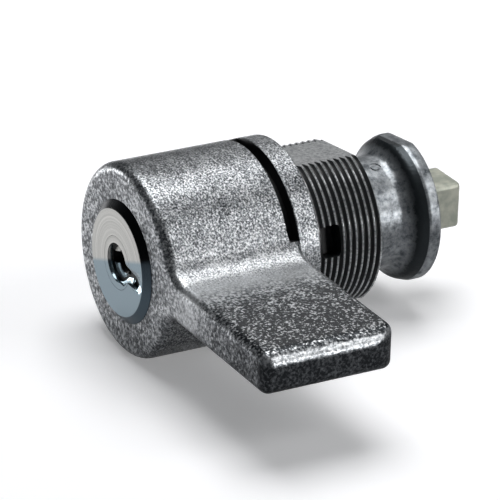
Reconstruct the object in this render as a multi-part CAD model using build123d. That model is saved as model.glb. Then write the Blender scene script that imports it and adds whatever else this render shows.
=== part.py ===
from build123d import *
import math
import os

# Enclosure handle lock, in millimetres.
# The lock axis is Y: the key goes in at the front (-Y) and the cam sits at the rear (+Y).
# Y = 0 is the face that seats on the door, +X points along the wing, +Z is up.

# Clearances
FACE_GAP = 0.15
RUN_GAP = 0.08
LOOSE_GAP = 0.2
SEAT_GAP = 0.05

# Spindle across: the square sets the shaft, and the shaft sets what goes round it
SQUARE = 7.0
SPINDLE_RADIUS = SQUARE * math.sqrt(0.5) + SEAT_GAP
CORNER_BREAK = 0.3
COLLAR_STEP = 1.4
COLLAR_RADIUS = SPINDLE_RADIUS + COLLAR_STEP
SCREW_RADIUS = 1.95
HEAD_HEIGHT = 1.8
HEAD_RADIUS = 3.5
HEXAGON = 2.5
CAM_HOLE_RADIUS = 2.1
CAM_HOLE_DEPTH = 12.0
KEY_GROOVE_DEPTH = 1.1
SEAL_THICK = 1.0

# Lock cylinder across
CORE_RADIUS = 3.85
RETAINER_REACH = 0.5
RETAINER_HALF = 1.2
LOCK_RADIUS = 8.85
LOCK_CHAMFER = 0.85

# Handle and housing across, from the lock cylinder outwards
POCKET_RADIUS = LOCK_RADIUS + SEAT_GAP
BOSS_WALL = 1.0
BOSS_RADIUS = POCKET_RADIUS + BOSS_WALL
JOURNAL_WALL = 1.82
JOURNAL_INNER = BOSS_RADIUS + LOOSE_GAP
JOURNAL_OUTER = JOURNAL_INNER + JOURNAL_WALL
SKIRT_WALL = 2.0
HUB_RADIUS = JOURNAL_OUTER + RUN_GAP + SKIRT_WALL
THREAD_RADIUS = 12.0
FLAT_DEPTH = 1.4
FLAT_TURN = 7.0
THREAD_FLAT = THREAD_RADIUS - FLAT_DEPTH
NECK_WALL = 3.2
NECK_RADIUS = SPINDLE_RADIUS + NECK_WALL
RIM_STEP = 2.55
RIM_RADIUS = NECK_RADIUS + RIM_STEP
RIM_FLAT = RIM_RADIUS - 0.6

# Along the axis, from the door's face forwards
RING_THICK = 3.3
RING_FRONT = -RING_THICK
HANDLE_REAR = RING_FRONT - FACE_GAP
SLOT_DEPTH = 1.55
SLOT_FRONT = HANDLE_REAR - SLOT_DEPTH
TANG_LENGTH = 2.2
TANG_FRONT = HANDLE_REAR - TANG_LENGTH
SCREW_WEB = 1.15
HEAD_SEAT = TANG_FRONT - FACE_GAP - SCREW_WEB
SCREW_TOP = HEAD_SEAT - HEAD_HEIGHT
BOLT_THICK = 2.1
BOLT_REAR = SCREW_TOP - SEAT_GAP
BOLT_FRONT = BOLT_REAR - BOLT_THICK
POCKET_FLOOR = BOLT_FRONT - SEAT_GAP
JOURNAL_FRONT = POCKET_FLOOR - 2 * LOOSE_GAP
LOCK_LENGTH = 13.9
LOCK_PROUD = 0.9
LOCK_FRONT = POCKET_FLOOR - LOCK_LENGTH
HUB_FRONT = LOCK_FRONT + LOCK_PROUD
KEY_ENTRY = 2.9
RETAINER_MARGIN = 1.2
RETAINER_Y = POCKET_FLOOR - RETAINER_MARGIN
COLLAR_THICK = 2.2
COLLAR_REAR = HANDLE_REAR + COLLAR_THICK
SEAL_FRONT = COLLAR_REAR + SEAT_GAP
SEAL_REAR = SEAL_FRONT + SEAL_THICK
SCREW_LENGTH = 10.0
SCREW_END = SCREW_TOP + SCREW_LENGTH

# Along the axis, from the door's face rearwards
THREAD_END = 11.0
THREAD_LEAD = 0.4
NECK_LENGTH = 5.4
FLARE_START = THREAD_END + NECK_LENGTH
FLARE_LENGTH = 3.6
SHOULDER_RISE = 0.62 * RIM_STEP
SHOULDER_LENGTH = 0.45 * FLARE_LENGTH
RIM_FRONT = FLARE_START + FLARE_LENGTH
RIM_THICK = 1.5
RIM_REAR = RIM_FRONT + RIM_THICK
SQUARE_LENGTH = 7.5
SPINDLE_END = RIM_REAR + SQUARE_LENGTH
WINDOW_FRONT = 1.6
WINDOW_WIDTH = 3.0
WINDOW_REAR = WINDOW_FRONT + WINDOW_WIDTH
WINDOW_HALF = 2.3
WINDOW_ANGLE = 12.0
KEY_RECESS = 3.0

# Wing and turn
WING_REACH = 41.0
WING_HALF = 3.05
EDGE_ROUND = 1.5
REAR_CHAMFER = 0.9
ROOT_ROUND_TOP = 6.0
ROOT_ROUND_BOTTOM = 2.0
TIP_ROUND_TOP = 2.2
TIP_ROUND_BOTTOM = 1.7
TURN = 90.0
SLOT_START = 19.0
STOP_ARC = 29.0
STOP_PLAY = 1.0
LUG_END = SLOT_START + TURN + STOP_ARC + 3 * STOP_PLAY
PIN_RADIUS = 0.98
PIN_BITE = 1.6

# Locking bolt and the crank pin that drives it from a corner of its circle
BOLT_HALF = 2.45
BOLT_TIP = BOSS_RADIUS - LOOSE_GAP
BOLT_TAIL = -(POCKET_RADIUS - 1.9)
CRANK_RADIUS = 1.1
CRANK_PIN = 0.8
CRANK_OFFSET = CRANK_RADIUS * math.sqrt(0.5)

# Wafers
KEYWAY_HALF = 0.85
KEYWAY_LOW = 2.6
KEYWAY_HIGH = 2.9
WAFER_COUNT = 5
WAFER_THICK = 0.5
WAFER_MARGIN = 1.9
WAFER_TRAVEL = 0.6
WAFER_WINDOW = 2.3
BITTING = (0.2, -0.2, 0.4, 0.0, -0.4)
SPRING_RADIUS = 0.45
SPRING_WALL = 0.15
SPRING_LENGTH = 1.98
WAFER_HEAD = 0.53
WAFER_FOOT = 1.08
WAFER_TOP = KEYWAY_HALF + WAFER_HEAD
WAFER_BOTTOM = -(KEYWAY_HALF + WAFER_FOOT)
SPRING_Z = WAFER_TOP + 0.17 + SPRING_RADIUS
EAR_TOP = SPRING_Z + 0.4
EAR_START = -0.4
EAR_END = 0.75


# Basic shapes along the lock axis

def disc(radius, front, rear, x=0.0, z=0.0):
    """A round bar along Y from front to rear."""
    return Pos(x, (front + rear) / 2, z) * Rot(X=90) * Cylinder(radius, rear - front)


def ring(outer, inner, front, rear):
    """A round tube along Y."""
    return disc(outer, front, rear) - disc(inner, front - 1, rear + 1)


def block(x_range, y_range, z_range):
    """A box between three pairs of limits."""
    limits = (x_range, y_range, z_range)
    middle = [(low + high) / 2 for low, high in limits]
    size = [high - low for low, high in limits]
    return Pos(*middle) * Box(*size)


def turned(points):
    """A solid turned about Y from (radius, y) points."""
    return revolve(make_face(Polyline(*points, close=True)), Axis.Y)


def at_angle(shape, angle):
    """Turns a shape made on the +X side to an angle measured from +X towards +Z."""
    return Rot(Y=-angle) * shape


def sector(outer, inner, front, rear, start, end):
    """A slice of a tube between two angles."""
    reach = outer / math.cos(math.radians((end - start) / 4))
    angles = [start + (end - start) * step / 2 for step in range(3)]
    rim = [(reach * math.cos(math.radians(a)), reach * math.sin(math.radians(a))) for a in angles]
    wedge = Plane.XZ.offset(-rear) * make_face(Polyline((0, 0), *rim, close=True))
    return ring(outer, inner, front, rear) & extrude(wedge, amount=rear - front)


# Handle

def handle_outline():
    """The hub circle and the wing, seen from the front, with their blends."""
    wing = Pos(WING_REACH / 2, 0) * Rectangle(WING_REACH, 2 * WING_HALF)
    outline = Circle(HUB_RADIUS) + wing
    corners = (
        (False, True, ROOT_ROUND_TOP),
        (False, False, ROOT_ROUND_BOTTOM),
        (True, True, TIP_ROUND_TOP),
        (True, False, TIP_ROUND_BOTTOM),
    )
    for at_tip, on_top, radius in corners:
        low, high = (WING_REACH - 0.1, WING_REACH + 0.1) if at_tip else (WING_HALF, HUB_RADIUS)
        ends = [v for v in outline.vertices() if low < v.X < high]
        outline = fillet([v for v in ends if (v.Y > 0) == on_top], radius)
    return outline


def round_front(body):
    """Rounds the front outline in three narrow flats that touch one radius."""
    corner_cut = EDGE_ROUND * (2 - math.sqrt(2))
    side_cut = EDGE_ROUND * (math.sqrt(2) - 1 - math.tan(math.radians(11.25)))
    body = chamfer(body.faces().sort_by(Axis.Y)[0].edges(), corner_cut)
    loops = [e for e in body.edges() if e.bounding_box().max.Y < HUB_FRONT + EDGE_ROUND]
    return chamfer([e for e in loops if e.bounding_box().size.Y < 0.001], side_cut)


def make_handle():
    """The die-cast hub with its wing, lock pocket, boss, bolt groove and stop slot."""
    body = extrude(Plane.XZ.offset(-HANDLE_REAR) * handle_outline(), amount=HANDLE_REAR - HUB_FRONT)
    body = round_front(body)
    body = chamfer(body.faces().sort_by(Axis.Y)[-1].edges(), REAR_CHAMFER)
    body -= disc(POCKET_RADIUS, HUB_FRONT - 1, POCKET_FLOOR)
    body -= ring(JOURNAL_OUTER + RUN_GAP, BOSS_RADIUS, JOURNAL_FRONT - LOOSE_GAP, RING_FRONT)
    body -= sector(WING_REACH, JOURNAL_OUTER, SLOT_FRONT, RING_FRONT, SLOT_START, LUG_END + STOP_PLAY)
    groove = BOLT_HALF + 2 * SEAT_GAP
    body -= block((-groove, groove), (POCKET_FLOOR, SCREW_TOP), (LOOSE_GAP - POCKET_RADIUS, JOURNAL_INNER))
    body -= disc(HEAD_RADIUS + LOOSE_GAP, POCKET_FLOOR - 1, HEAD_SEAT + SEAT_GAP)
    body -= disc(SCREW_RADIUS + LOOSE_GAP, SCREW_TOP, HANDLE_REAR)
    socket = SQUARE / 2 + SEAT_GAP
    body -= block((-socket, socket), (TANG_FRONT - FACE_GAP, HANDLE_REAR), (-socket, socket))
    body -= radial_pin(PIN_RADIUS + SEAT_GAP / 2, POCKET_RADIUS - 1, HUB_RADIUS + 1)
    return body


# Housing

def stop_lug():
    """The cast lug that runs in the handle's slot and ends its turn."""
    front = SLOT_FRONT + LOOSE_GAP
    outer = HUB_RADIUS - SEAT_GAP
    inner = JOURNAL_OUTER - LOOSE_GAP
    return sector(outer, inner, front, RING_FRONT + LOOSE_GAP, LUG_END - STOP_ARC, LUG_END)


def between_flats(distance):
    """The space between two flats, which stand turned from the wing at rest."""
    wide = 2 * HUB_RADIUS
    return at_angle(block((-wide, wide), (-wide, 2 * RIM_REAR), (-distance, distance)), FLAT_TURN)


def neck_and_rim():
    """The smooth neck with the steep flare and the rear rim, which has two flats."""
    body = turned([
        (0, THREAD_END - 1),
        (NECK_RADIUS, THREAD_END - 1),
        (NECK_RADIUS, FLARE_START),
        (NECK_RADIUS + SHOULDER_RISE, FLARE_START + SHOULDER_LENGTH),
        (RIM_RADIUS, RIM_FRONT),
        (RIM_RADIUS, RIM_REAR),
        (0, RIM_REAR),
    ])
    return body & between_flats(RIM_FLAT)


def make_housing():
    """The fixed casting: journal, ring, flat-sided threaded barrel, neck and rim."""
    flange = disc(HUB_RADIUS, RING_FRONT, 0)
    barrel = disc(THREAD_RADIUS, -1, THREAD_END)
    barrel = chamfer(barrel.edges().filter_by(GeomType.CIRCLE).sort_by(Axis.Y)[-1], THREAD_LEAD)
    barrel &= between_flats(THREAD_FLAT)
    body = flange + barrel + neck_and_rim()
    body += ring(JOURNAL_OUTER, JOURNAL_INNER, JOURNAL_FRONT, RING_FRONT + LOOSE_GAP)
    body += stop_lug()
    body -= disc(COLLAR_RADIUS + LOOSE_GAP, RING_FRONT - 1, SEAL_REAR + SEAT_GAP)
    body -= disc(SPINDLE_RADIUS + RUN_GAP, RING_FRONT, RIM_REAR + 1)
    notch_half = BOLT_HALF + LOOSE_GAP
    notch_y = (JOURNAL_FRONT - 1, BOLT_REAR + FACE_GAP)
    notch = block((JOURNAL_INNER - 1, HUB_RADIUS), notch_y, (-notch_half, notch_half))
    for angle in (TURN, 2 * TURN):
        body -= at_angle(notch, angle)
    window = block((0, HUB_RADIUS), (WINDOW_FRONT, WINDOW_REAR), (-WINDOW_HALF, WINDOW_HALF))
    body -= at_angle(window, WINDOW_ANGLE)
    return body


def make_spindle_key():
    """The flat key in the barrel's window that holds the spindle in."""
    y_range = (WINDOW_FRONT + SEAT_GAP, WINDOW_REAR - SEAT_GAP)
    half = WINDOW_HALF - SEAT_GAP
    inner = SPINDLE_RADIUS - KEY_GROOVE_DEPTH + 2 * SEAT_GAP
    return at_angle(block((inner, THREAD_RADIUS - KEY_RECESS), y_range, (-half, half)), WINDOW_ANGLE)


# Spindle and its screw

def make_spindle():
    """The steel spindle: front tang, collar, round shaft and rear square for the cam."""
    across = (-SQUARE / 2, SQUARE / 2)
    body = block(across, (TANG_FRONT, 0), across) + disc(COLLAR_RADIUS, HANDLE_REAR, COLLAR_REAR)
    body += disc(SPINDLE_RADIUS, HANDLE_REAR, RIM_REAR - LOOSE_GAP)
    square = block(across, (RIM_REAR - 1, SPINDLE_END), across)
    body += square & disc(SPINDLE_RADIUS - CORNER_BREAK, RIM_REAR - 1, SPINDLE_END)
    body -= disc(SCREW_RADIUS + SEAT_GAP, TANG_FRONT - 1, SCREW_END + 1)
    body -= disc(CAM_HOLE_RADIUS, SPINDLE_END - CAM_HOLE_DEPTH, SPINDLE_END + 1)
    groove_y = (WINDOW_FRONT - 2 * SEAT_GAP, WINDOW_REAR + 2 * SEAT_GAP)
    body -= ring(SPINDLE_RADIUS + 1, SPINDLE_RADIUS - KEY_GROOVE_DEPTH, *groove_y)
    return body


def make_spindle_seal():
    """The rubber ring round the shaft, between the collar and the housing's step."""
    return ring(COLLAR_RADIUS, SPINDLE_RADIUS + SEAT_GAP, SEAL_FRONT, SEAL_REAR)


def make_spindle_screw():
    """The flat-headed screw that clamps the handle to the spindle."""
    body = disc(HEAD_RADIUS, SCREW_TOP, HEAD_SEAT) + disc(SCREW_RADIUS, HEAD_SEAT - 1, SCREW_END)
    socket_floor = HEAD_SEAT - 0.5
    hexagon = Plane.XZ.offset(-socket_floor) * RegularPolygon(HEXAGON / 2, 6, major_radius=False)
    return body - extrude(hexagon, amount=2 * HEAD_HEIGHT)


# Locking bolt

def make_locking_bolt():
    """The flat bolt that a crank pin on the core pushes out of the boss."""
    body = block((-BOLT_HALF, BOLT_HALF), (BOLT_FRONT, BOLT_REAR), (BOLT_TAIL, BOLT_TIP))
    body = chamfer(body.edges().filter_by(Axis.Y), 0.4)
    clear = CRANK_PIN + 2 * SEAT_GAP
    slot_x = (CRANK_OFFSET - clear - SEAT_GAP, CRANK_RADIUS + clear + SEAT_GAP)
    slot_z = (-CRANK_OFFSET - clear, -CRANK_OFFSET + clear)
    return body - block(slot_x, (BOLT_FRONT - 1, BOLT_REAR + 1), slot_z)


# Lock cylinder

def radial_pin(radius, inner, outer):
    """The pin, or its hole, at the underside that fixes the lock body in the handle."""
    middle = (HUB_FRONT + POCKET_FLOOR) / 2 - 1
    return Pos(0, middle, -(inner + outer) / 2) * Cylinder(radius, outer - inner)


def wafer_positions():
    """The Y position of each wafer, evenly spaced between the key's entry and the retainer."""
    first = LOCK_FRONT + KEY_ENTRY
    pitch = (RETAINER_Y - WAFER_MARGIN - first) / (WAFER_COUNT - 1)
    return [first + pitch * index for index in range(WAFER_COUNT)]


def make_lock_body():
    """The plated cylinder body with its core bore, wafer grooves and face slot."""
    body = turned([
        (0, LOCK_FRONT),
        (LOCK_RADIUS - LOCK_CHAMFER, LOCK_FRONT),
        (LOCK_RADIUS, LOCK_FRONT + LOCK_CHAMFER),
        (LOCK_RADIUS, POCKET_FLOOR),
        (0, POCKET_FLOOR),
    ])
    body -= disc(CORE_RADIUS + SEAT_GAP, LOCK_FRONT - 1, POCKET_FLOOR + 1)
    side = math.degrees(math.asin((RETAINER_HALF + LOOSE_GAP) / CORE_RADIUS))
    track_y = (RETAINER_Y - WAFER_THICK, RETAINER_Y + WAFER_THICK)
    body -= sector(CORE_RADIUS + RETAINER_REACH + LOOSE_GAP, CORE_RADIUS - 1, *track_y, -side, TURN + side)
    groove_half = LOOSE_GAP - WAFER_BOTTOM
    groove_end = CORE_RADIUS + WAFER_TRAVEL + 2 * LOOSE_GAP
    groove_y = (LOCK_FRONT + KEY_ENTRY - WAFER_MARGIN / 2, RETAINER_Y - WAFER_MARGIN / 2)
    groove = block((0, groove_end), groove_y, (-groove_half, groove_half))
    for quarter in range(4):
        body -= at_angle(groove, quarter * 90)
    body -= block((CORE_RADIUS, LOCK_RADIUS + 1), (LOCK_FRONT - 1, LOCK_FRONT + 1.2), (-1.4, 1.0))
    body -= radial_pin(PIN_RADIUS + SEAT_GAP / 2, LOCK_RADIUS - PIN_BITE - SEAT_GAP, LOCK_RADIUS + 1)
    return body


def spring_rod(radius, length, y):
    """An eight-sided rod that ends at a wafer's ear, where its spring lies."""
    section = Plane.YZ.offset(EAR_START) * Pos(y, SPRING_Z) * RegularPolygon(radius, 8, major_radius=False)
    return extrude(section, amount=-length)


def wafer_space(y):
    """The room that one wafer and its spring need in the core."""
    half = WAFER_THICK / 2 + SEAT_GAP
    y_range = (y - half, y + half)
    wide = 2 * CORE_RADIUS
    plate = block((-wide, wide), y_range, (WAFER_BOTTOM - 0.07, WAFER_TOP + 0.07))
    ear_x = (EAR_START - 0.1, EAR_END + WAFER_TRAVEL + 0.25)
    ear = block(ear_x, y_range, (WAFER_TOP, EAR_TOP + FACE_GAP))
    spring = spring_rod(SPRING_RADIUS + SEAT_GAP, SPRING_LENGTH + SEAT_GAP, y)
    return plate + ear + spring


def make_lock_core():
    """The turning plug with its keyway, wafer slots, retainer slot and crank pin."""
    body = disc(CORE_RADIUS, LOCK_FRONT, POCKET_FLOOR - LOOSE_GAP)
    pin_y = (POCKET_FLOOR - 2 * LOOSE_GAP, BOLT_REAR - LOOSE_GAP)
    body += disc(CRANK_PIN, *pin_y, x=CRANK_OFFSET, z=-CRANK_OFFSET)
    body -= disc((KEYWAY_LOW + KEYWAY_HIGH) / 2, LOCK_FRONT - 1, LOCK_FRONT + 0.8)
    keyway_y = (LOCK_FRONT - 1, RETAINER_Y - WAFER_THICK)
    body -= block((-KEYWAY_LOW, KEYWAY_HIGH), keyway_y, (-KEYWAY_HALF, KEYWAY_HALF))
    body -= retainer_plate(SEAT_GAP)
    for y in wafer_positions():
        body -= wafer_space(y)
    return body


def retainer_plate(gap):
    """The plate that stands out of the core into the lock body's track, grown by a gap."""
    thick = WAFER_THICK / 2 + gap
    high = RETAINER_HALF + gap
    x_range = (CORE_RADIUS / 2 - gap, CORE_RADIUS + RETAINER_REACH)
    return block(x_range, (RETAINER_Y - thick, RETAINER_Y + thick), (-high, high))


def make_wafer(y, bitting):
    """One wafer with its key window and the ear that its spring pushes."""
    y_range = (y - WAFER_THICK / 2, y + WAFER_THICK / 2)
    wide = 2 * CORE_RADIUS
    plate = block((-wide, wide), y_range, (WAFER_BOTTOM, WAFER_TOP)) & disc(CORE_RADIUS - 0.08, *y_range)
    plate += block((EAR_START, EAR_END), y_range, (KEYWAY_HALF, EAR_TOP))
    window = (bitting - WAFER_WINDOW, bitting + WAFER_WINDOW)
    return plate - block(window, (y - WAFER_THICK, y + WAFER_THICK), (-KEYWAY_HALF, KEYWAY_HALF))


def make_wafer_spring(y):
    """The small spring that pushes one wafer, as a sleeve of its outer size."""
    bore = spring_rod(SPRING_RADIUS - SPRING_WALL, SPRING_LENGTH, y)
    return spring_rod(SPRING_RADIUS, SPRING_LENGTH, y) - bore


# Assembly

def make_parts():
    """All pieces by name, each in its place."""
    parts = {
        "handle": make_handle(),
        "housing": make_housing(),
        "spindle": make_spindle(),
        "spindle_key": make_spindle_key(),
        "spindle_screw": make_spindle_screw(),
        "spindle_seal": make_spindle_seal(),
        "locking_bolt": make_locking_bolt(),
        "lock_body": make_lock_body(),
        "lock_core": make_lock_core(),
        "retaining_wafer": retainer_plate(0),
        "lock_body_pin": radial_pin(PIN_RADIUS, LOCK_RADIUS - PIN_BITE, HUB_RADIUS - LOOSE_GAP),
    }
    for index, y in enumerate(wafer_positions()):
        parts[f"wafer_{index + 1}"] = make_wafer(y, BITTING[index % len(BITTING)])
        parts[f"wafer_spring_{index + 1}"] = make_wafer_spring(y)
    return parts


os.makedirs("parts", exist_ok=True)
for name, shape in make_parts().items():
    export_step(shape, f"parts/{name}.step")
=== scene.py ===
"""Studio scene of a wing handle lock for an enclosure door.

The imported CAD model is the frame. The handle, the housing, the spindle and the
lock cylinder's face get detailed meshes, and the other pieces get their finishes.
Solids are built in millimetres and turned to metres when they are finished.
"""

import logging
import math
from dataclasses import dataclass
from enum import Enum
from functools import partial
from typing import Callable, Optional, Sequence

import bmesh
import bpy
from mathutils import Matrix, Vector


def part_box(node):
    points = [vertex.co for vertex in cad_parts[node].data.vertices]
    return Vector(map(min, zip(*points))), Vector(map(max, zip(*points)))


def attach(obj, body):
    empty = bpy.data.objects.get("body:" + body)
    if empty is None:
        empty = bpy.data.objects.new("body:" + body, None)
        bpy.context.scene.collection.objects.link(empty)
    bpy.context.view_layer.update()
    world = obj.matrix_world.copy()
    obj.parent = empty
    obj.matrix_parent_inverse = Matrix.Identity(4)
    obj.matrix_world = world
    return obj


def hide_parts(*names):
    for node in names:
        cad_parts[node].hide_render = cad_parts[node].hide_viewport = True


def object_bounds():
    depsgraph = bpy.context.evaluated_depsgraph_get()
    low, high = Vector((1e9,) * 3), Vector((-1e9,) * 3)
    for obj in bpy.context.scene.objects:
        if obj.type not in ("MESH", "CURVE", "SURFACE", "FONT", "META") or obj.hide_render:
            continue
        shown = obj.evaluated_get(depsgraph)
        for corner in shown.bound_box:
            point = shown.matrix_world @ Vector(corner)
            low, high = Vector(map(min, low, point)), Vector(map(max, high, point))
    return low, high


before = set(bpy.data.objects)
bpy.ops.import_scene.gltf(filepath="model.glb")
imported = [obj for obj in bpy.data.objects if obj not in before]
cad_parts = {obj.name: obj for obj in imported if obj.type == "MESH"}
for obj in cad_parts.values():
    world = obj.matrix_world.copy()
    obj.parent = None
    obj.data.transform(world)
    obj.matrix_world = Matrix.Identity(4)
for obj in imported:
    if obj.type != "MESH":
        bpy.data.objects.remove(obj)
cad_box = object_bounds()

log = logging.getLogger("handle_lock")

Node = bpy.types.Node
Material = bpy.types.Material
Solid = bpy.types.Object
Face = bpy.types.MeshPolygon
Pair = tuple[float, float]
Outline = list[tuple[float, float, float, float]]
AddNode = Callable[..., Node]

# Sizes that several pieces share, in millimetres and degrees

MM = 0.001  # one millimetre in metres
GAP = 0.05  # clearance between pieces that don't move, and the unit of small overlaps
RUN_GAP = 0.08  # clearance of the handle on its journal
PAST = 1.0  # how far a cutter reaches past what it cuts
SKIRT_WALL = 2.0  # wall of the handle's skirt round the journal
STOP_DEPTH = 1.55  # depth of the stop slot in the skirt's rear edge
SQUARE = 7.0  # width of the spindle's square
THREAD_CREST = 12.0  # radius of the thread's crests
FLAT_DISTANCE = 10.6  # from the lock axis to the barrel's flats
FLAT_TURN = 7.0  # how far the flats stand turned from the wing


class Axis(Enum):
    """The direction that a round bar runs in."""

    ALONG_LOCK = "Y"
    UPRIGHT = "Z"


class Change(Enum):
    """How one solid changes another."""

    CUT = "DIFFERENCE"
    JOIN = "UNION"
    KEEP_INSIDE = "INTERSECT"


class ThreadInput(Enum):
    """Named inputs of the barrel's geometry tree, each with its kind of value."""

    CREST = ("Crest Radius", "Float")
    DEPTH = ("Thread Depth", "Float")
    PITCH = ("Pitch", "Float")
    LENGTH = ("Length", "Float")
    FLAT = ("Flat Distance", "Float")
    STEPS = ("Steps", "Int")
    ROUND_STEPS = ("Round Steps", "Int")
    FINISH = ("Finish", "Material")


@dataclass(frozen=True)
class Extent:
    """The box of a CAD node in millimetres.

    Args:
        low: its lowest corner.
        high: its highest corner.
    """

    low: Vector
    high: Vector

    @classmethod
    def of(cls, node: str) -> "Extent":
        """Reads the box of one CAD node."""
        low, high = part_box(node)
        return cls(low / MM, high / MM)

    @property
    def radius(self) -> float:
        """Half the height, which is the radius of a round piece on the axis."""
        return self.high.z


# Solids


def spaced(start: float, end: float, steps: int) -> list[float]:
    """Evenly spaced values from one to another, both of them included."""
    return [start + (end - start) * step / steps for step in range(steps + 1)]


def angles(start: float, end: float, steps: int) -> list[float]:
    """Evenly spaced angles in radians, from one to another given in degrees."""
    return [math.radians(turn) for turn in spaced(start, end, steps)]


def around(radius: float, y: float, turn: float) -> tuple[float, float, float]:
    """A point at a radius from the lock axis, turned from +X towards +Z."""
    return radius * math.cos(turn), y, radius * math.sin(turn)


def about_lock(turn: float) -> Matrix:
    """A turn about the lock axis, in degrees from +X towards +Z."""
    return Matrix.Rotation(math.radians(-turn), 4, "Y")


def new_object(name: str, mesh: bpy.types.Mesh) -> Solid:
    """Links a mesh into the scene as an object.

    Args:
        name: the object's name.
        mesh: its mesh.

    Returns:
        The new object, unturned and at the origin.
    """
    obj = bpy.data.objects.new(name, mesh)
    bpy.context.scene.collection.objects.link(obj)
    return obj


def object_from(shape: bmesh.types.BMesh, name: str) -> Solid:
    """Makes an object of a filled bmesh.

    Args:
        shape: the bmesh, which is used up.
        name: the object's name.

    Returns:
        The new object.
    """
    mesh = bpy.data.meshes.new(name)
    shape.to_mesh(mesh)
    shape.free()
    return new_object(name, mesh)


def closed_solid(shape: bmesh.types.BMesh, name: str) -> Solid:
    """Makes an object of a bmesh, with its seams closed and its faces turned outwards.

    Args:
        shape: the bmesh, which is used up.
        name: the object's name.

    Returns:
        The new object.
    """
    bmesh.ops.remove_doubles(shape, verts=shape.verts, dist=1e-5)
    bmesh.ops.recalc_face_normals(shape, faces=shape.faces)
    return object_from(shape, name)


def loft(
    loops: Sequence[Sequence[tuple]],
    name: str,
    ring: bool = False,
    first_faces: Optional[Sequence[Sequence[int]]] = None,
) -> Solid:
    """Builds a closed solid through loops of points.

    Args:
        loops: (x, y, z) loops one after the other; a loop of one point is a pole.
        name: the object's name.
        ring: True where the last loop joins the first one and no end needs a face.
        first_faces: points of each face that closes the first loop, if it takes more than one.

    Returns:
        The solid as an object.
    """
    shape = bmesh.new()
    count = max(len(loop) for loop in loops)
    rows = [[shape.verts.new(point) for point in loop] * (count // len(loop)) for loop in loops]
    for first, second in zip(rows, rows[1:] + rows[:1] if ring else rows[1:]):
        for index in range(count):
            after = (index + 1) % count
            corners = dict.fromkeys((first[index], first[after], second[after], second[index]))
            if len(corners) > 2:
                shape.faces.new(list(corners))
    if not ring:
        for face in first_faces or [range(count)]:
            shape.faces.new([rows[0][index] for index in face])
        shape.faces.new(rows[-1])
    return closed_solid(shape, name)


def turned(profile: Sequence[Pair], name: str, segments: int = 192) -> Solid:
    """Turns a closed profile about the lock axis.

    Args:
        profile: (radius, y) points; the profile closes by itself.
        name: the object's name.
        segments: how many steps make the full turn.

    Returns:
        The turned solid.
    """
    turns = angles(0, 360, segments)[:-1]
    loops = []
    for radius, y in profile:
        round_turns = turns if radius > 1e-6 else [0.0]
        loops.append([around(radius, y, turn) for turn in round_turns])
    return loft(loops, name, ring=True)


def bar(radius: float, start: float, end: float, axis: Axis = Axis.ALONG_LOCK, at: float = 0.0) -> Solid:
    """A round bar on the lock axis, or upright through it.

    Args:
        radius: its radius.
        start: where it begins along its own axis.
        end: where it ends.
        axis: which way it runs.
        at: for an upright bar, its place along the lock axis.

    Returns:
        The bar as an object.
    """
    solid = turned([(0, start), (radius, start), (radius, end), (0, end)], "bar", 96)
    if axis is Axis.UPRIGHT:
        solid.data.transform(Matrix.Translation((0, at, 0)) @ Matrix.Rotation(math.pi / 2, 4, "X"))
    return solid


def tube(outer: float, inner: float, front: float, rear: float) -> Solid:
    """A round tube on the lock axis."""
    return turned([(inner, front), (outer, front), (outer, rear), (inner, rear)], "tube", 128)


def sector(radii: Pair, depths: Pair, span: Pair) -> Solid:
    """A slice of a tube on the lock axis.

    Args:
        radii: its outer and inner radius.
        depths: where it begins and ends along the axis.
        span: its first and last angle in degrees.

    Returns:
        The slice as an object.
    """
    (outer, inner), (front, rear) = radii, depths
    corners = ((outer, front), (outer, rear), (inner, rear), (inner, front))
    turns = angles(*span, max(4, round((span[1] - span[0]) / 2)))
    return loft([[around(radius, y, turn) for radius, y in corners] for turn in turns], "sector")


def prism(outline: Sequence[Pair], front: float, rear: float) -> Solid:
    """A straight solid along the lock axis with an (x, z) outline."""
    return loft([[(x, y, z) for x, z in outline] for y in (front, rear)], "prism")


def block(low: Sequence[float], high: Sequence[float], turn: float = 0.0, corner: float = 0.0) -> Solid:
    """A box between two corners, turned about the lock axis.

    Args:
        low: lowest corner.
        high: highest corner.
        turn: angle in degrees from +X towards +Z.
        corner: radius of the four edges that run outwards.

    Returns:
        The box as an object.
    """
    shape = bmesh.new()
    bmesh.ops.create_cube(shape, size=1)
    size = [end - start for start, end in zip(low, high)]
    middle = [(start + end) / 2 for start, end in zip(low, high)]
    place = Matrix.Translation(middle) @ Matrix.Diagonal((*size, 1))
    bmesh.ops.transform(shape, matrix=place, verts=shape.verts)
    if corner:
        outward = [edge for edge in shape.edges if abs(edge.verts[0].co.x - edge.verts[1].co.x) > 1e-6]
        bmesh.ops.bevel(shape, geom=outward, offset=corner, segments=5, profile=0.5, affect="EDGES")
    bmesh.ops.transform(shape, matrix=about_lock(turn), verts=shape.verts)
    return closed_solid(shape, "block")


def rounded_corner(corner: Pair, into: Pair, out: Pair, radius: float, steps: int = 5) -> list[Pair]:
    """Points of a small arc in place of a square corner of a turned profile.

    Args:
        corner: the sharp corner (radius, y).
        into: unit direction along the profile before the corner.
        out: unit direction along the profile after it.
        radius: of the arc.
        steps: pieces of the arc.

    Returns:
        The arc's points in order.
    """
    points = []
    for turn in angles(0, 90, steps):
        back = radius * (1 - math.sin(turn))
        on = radius * (1 - math.cos(turn))
        points.append((corner[0] - into[0] * back + out[0] * on, corner[1] - into[1] * back + out[1] * on))
    return points


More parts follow.
